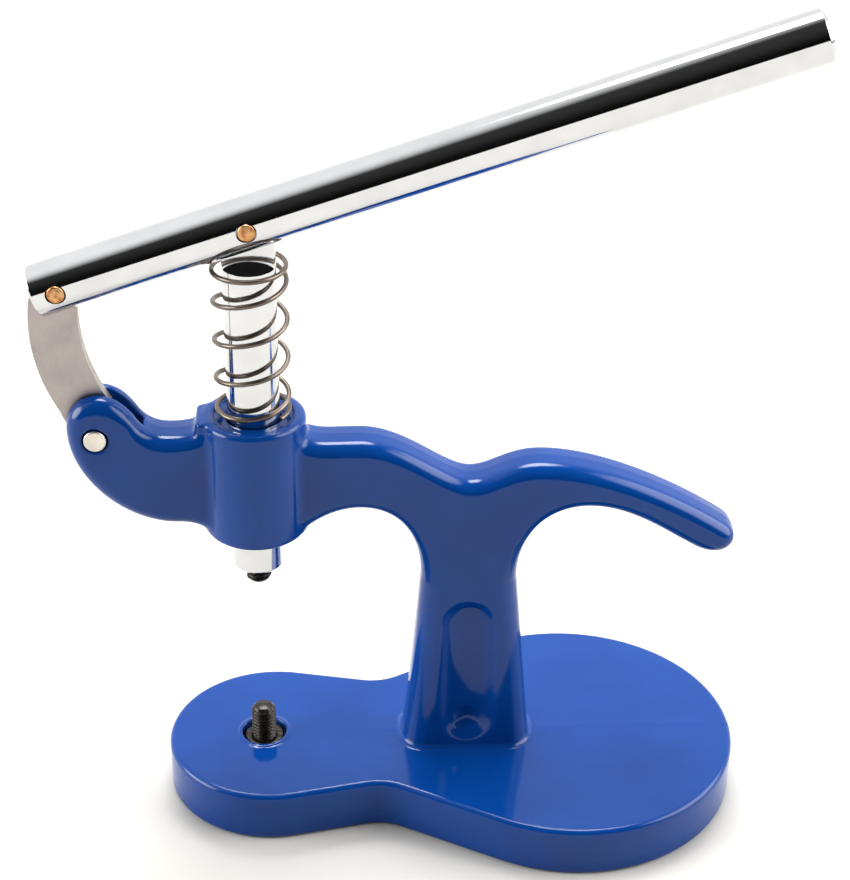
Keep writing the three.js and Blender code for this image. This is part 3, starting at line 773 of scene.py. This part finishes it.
def bump(nodes, links, shader, height, strength, distance, into=None):
    """Relief from a height, laid over an earlier relief if there is one."""
    node = nodes.new("ShaderNodeBump")
    node.inputs["Strength"].default_value = strength
    node.inputs["Distance"].default_value = distance
    links.new(height, node.inputs["Height"])
    if into is not None:
        links.new(into, node.inputs["Normal"])
    links.new(node.outputs["Normal"], shader.inputs["Normal"])
    return node.outputs["Normal"]


def blue_enamel():
    """Glossy sprayed enamel: patchy tone, slow sags and a fine grain."""
    material, nodes, links, shader = new_material("blue_enamel", IOR=1.35)
    tone = noise(nodes, links, 60, 2)
    colour = ramp(nodes, links, tone, [(0.25, (0.001, 0.029, 0.165)), (0.75, (0.001, 0.037, 0.195))])
    links.new(colour, shader.inputs["Base Color"])
    links.new(span(nodes, links, noise(nodes, links, 220, 3), 0.07, 0.13), shader.inputs["Roughness"])
    sag = bump(nodes, links, shader, noise(nodes, links, 95, 1.5), 0.09, 0.0012)
    bump(nodes, links, shader, noise(nodes, links, 700, 2), 0.05, 0.0002, sag)
    return material


def chrome(name, stretch):
    """Plated bar with faint polishing lines along it."""
    material, nodes, links, shader = new_material(name, Metallic=1.0)
    tone = noise(nodes, links, 120, 2)
    colour = ramp(nodes, links, tone, [(0.3, (0.57, 0.577, 0.588)), (0.7, (0.63, 0.635, 0.643))])
    links.new(colour, shader.inputs["Base Color"])
    lines = noise(nodes, links, 900, 3, 0.6, stretch)
    links.new(span(nodes, links, lines, 0.035, 0.085), shader.inputs["Roughness"])
    bump(nodes, links, shader, lines, 0.03, 0.0001)
    return material


def steel(name, dark, light, rough, grain, stretch, depth=0.12):
    """Bare steel between two tones, with its grain."""
    material, nodes, links, shader = new_material(name, Metallic=1.0)
    lines = noise(nodes, links, grain, 4, 0.65, stretch)
    patches = noise(nodes, links, 160, 3)
    links.new(ramp(nodes, links, patches, [(0.3, dark), (0.7, light)]), shader.inputs["Base Color"])
    links.new(span(nodes, links, lines, rough - 0.08, rough + 0.1), shader.inputs["Roughness"])
    bump(nodes, links, shader, lines, depth, 0.0002)
    return material


def black_oxide():
    """Blackened screws, rubbed paler in places."""
    material, nodes, links, shader = new_material("black_oxide", Metallic=0.85)
    wear = noise(nodes, links, 1500, 4, 0.6)
    colour = ramp(nodes, links, wear, [(0.35, (0.016, 0.015, 0.014)), (0.75, (0.05, 0.043, 0.037))])
    links.new(colour, shader.inputs["Base Color"])
    links.new(span(nodes, links, wear, 0.2, 0.38), shader.inputs["Roughness"])
    bump(nodes, links, shader, wear, 0.1, 0.0001)
    return material


def yellow_zinc():
    """Passivated pins, in bands of bronze and rose."""
    material, nodes, links, shader = new_material("yellow_zinc", Metallic=1.0)
    film = noise(nodes, links, 620, 2, 0.5)
    colour = ramp(nodes, links, film, [
        (0.3, (0.26, 0.09, 0.06)),
        (0.45, (0.48, 0.21, 0.08)),
        (0.58, (0.58, 0.36, 0.16)),
        (0.7, (0.36, 0.17, 0.15)),
    ])
    links.new(colour, shader.inputs["Base Color"])
    links.new(span(nodes, links, film, 0.22, 0.42), shader.inputs["Roughness"])
    bump(nodes, links, shader, film, 0.15, 0.0001)
    return material


# ---- the pieces -------------------------------------------------------------------------------
def pin_mesh(radius, half, ease, dome, sides, place):
    """A headless pin with rounded corners and slightly domed ends."""
    mesh = moved(turned(eased(radius, -half, half, ease, dome), sides), place)
    mesh.shade_smooth()
    mesh.set_sharp_from_angle(angle=math.radians(35))
    return mesh


def frame_pieces():
    """The casting, with its stud, spring and clevis pin."""
    wire = steel("spring_wire", (0.10, 0.078, 0.062), (0.20, 0.165, 0.14), 0.34, 500, (1, 1, 1))
    bright = steel("pin_steel", (0.52, 0.48, 0.42), (0.66, 0.62, 0.56), 0.34, 600, (1, 1, 1))
    pin = pin_mesh(CLEVIS_PIN_R, 6.75, 0.35, 0.1, 64, across(*CLEVIS))
    add_piece("painted_casting", casting_mesh(), "frame", "frame_casting", blue_enamel())
    add_piece("threaded_die_stud", die_stud_mesh(), "frame", "die_stud", OXIDE)
    coil = add_piece("coil_spring", spring_mesh(), "frame", "return_spring", wire)
    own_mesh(coil)
    add_piece("clevis_cross_pin", pin, "frame", "clevis_pin", bright)


def ram_pieces():
    """The ram and the set screw in its end."""
    stud = threaded(RAM_LOW - 4.3, RAM_LOW + 11, 0.9, 0.4)
    add_piece("chromed_ram", ram_mesh(), "slide", "ram", chrome("ram_chrome", (1, 1, 12)))
    add_piece("threaded_ram_stud", stud, "slide", "ram_die_stud", OXIDE)


def lever_pieces():
    """The lever with its two cross pins, and the strap that hangs from it."""
    plating, zinc = chrome("lever_chrome", (14, 1, 1)), yellow_zinc()
    ground = steel("ground_steel", (0.33, 0.295, 0.285), (0.40, 0.36, 0.345), 0.42, 1400, (1, 1, 0.3), 0.04)
    add_piece("chromed_lever", lever_mesh(), "handle", "lever_bar", plating)
    for name, node, x in (("ram_cross_pin", "ram_pin", 0), ("link_cross_pin", "link_pin", -REACH)):
        pin = pin_mesh(CROSS_PIN_R, 6.12, 0.36, 0.22, 56, LEVER_PLACE @ across(x, 0))
        add_piece(name, pin, "handle", node, zinc)
    add_piece("strap_link", link_mesh(), "link", "link_plate", ground)


OXIDE = black_oxide()
frame_pieces()
ram_pieces()
lever_pieces()


# ---- floor, light and camera --------------------------------------------------------------------
CAMERA_SIDE, BACK_WALL, HALO = 0.05, 1.27, 1.3  # strengths of the room's wide parts
CEILING, WINDOW, RIGHT_LAMP = 21.0, 10.5, 7.5  # and of its lamps


def pale_floor():
    """A wide plain floor, level with the underside of the base."""
    half, thick = 6000, 20
    mesh = block(-half, half, -half, half, -thick, 0)
    material, *_, shader = new_material("floor_white", Roughness=0.9)
    shader.inputs["Base Color"].default_value = (0.455, 0.445, 0.42, 1)
    mesh.materials.append(material)
    floor = bpy.data.objects.new("floor", mesh)
    bpy.context.collection.objects.link(floor)


def studio_world():
    """Soft studio by direction: back wall, dark camera side, ceiling lamp, left window and right lamp."""
    world = bpy.data.worlds.new("studio")
    world.use_nodes = True
    nodes, links = world.node_tree.nodes, world.node_tree.links
    place = nodes.new("ShaderNodeTexCoord").outputs["Generated"]
    split = nodes.new("ShaderNodeSeparateXYZ")
    links.new(place, split.inputs["Vector"])

    def eased_span(value, low, high, to_low, to_high):
        out = span(nodes, links, value, to_low, to_high, low, high)
        out.node.interpolation_type = "SMOOTHSTEP"
        return out

    def toward(x, y, z, wide, narrow, power):
        """A soft round light in a direction: full within narrow degrees, gone beyond wide degrees."""
        dot = nodes.new("ShaderNodeVectorMath")
        dot.operation = "DOT_PRODUCT"
        links.new(place, dot.inputs[0])
        dot.inputs[1].default_value = Vector((x, y, z)).normalized()
        outer, inner = math.cos(math.radians(wide)), math.cos(math.radians(narrow))
        return eased_span(dot.outputs["Value"], outer, inner, 0, power)

    def maths(operation, first, second):
        node = nodes.new("ShaderNodeMath")
        node.operation = operation
        links.new(first, node.inputs[0])
        links.new(second, node.inputs[1])
        return node.outputs["Value"]

    walls = eased_span(split.outputs["Y"], -0.02, 0.55, 0, BACK_WALL)
    gloom = eased_span(split.outputs["Z"], 0.1, 0.9, 0.006, CAMERA_SIDE)
    halo = toward(-0.75, 0.35, 0.56, 56, 22, HALO)
    light = maths("MAXIMUM", maths("MAXIMUM", walls, gloom), halo)
    for lamp in (
        toward(0, 0.34, 0.94, 20, 8, CEILING),
        toward(-0.93, -0.12, 0.3, 26, 12, WINDOW),
        toward(0.85, -0.05, 0.5, 34, 16, RIGHT_LAMP),
    ):
        light = maths("ADD", light, lamp)
    links.new(light, nodes["Background"].inputs["Strength"])
    nodes["Background"].inputs["Color"].default_value = (1, 1, 1, 1)
    bpy.context.scene.world = world


def aimed_camera():
    """Camera in front of the press and above it, looking down at a third of a right angle."""
    data = bpy.data.cameras.new("camera")
    data.sensor_width = 36
    data.lens = 82.9
    azimuth, elevation, roll = math.radians(-3.064), math.radians(29.955), math.radians(0.81)
    distance, target = 0.4672, (0.03918, 0, 0.09645)
    turn = (
        Matrix.Rotation(azimuth, 4, "Z")
        @ Matrix.Rotation(math.pi / 2 - elevation, 4, "X")
        @ Matrix.Rotation(roll, 4, "Z")
    )
    camera = bpy.data.objects.new("camera", data)
    bpy.context.collection.objects.link(camera)
    camera.matrix_world = Matrix.Translation(target) @ turn @ Matrix.Translation((0, 0, distance))
    bpy.context.scene.camera = camera


pale_floor()
studio_world()
aimed_camera()
bpy.context.scene.view_settings.view_transform = "Standard"
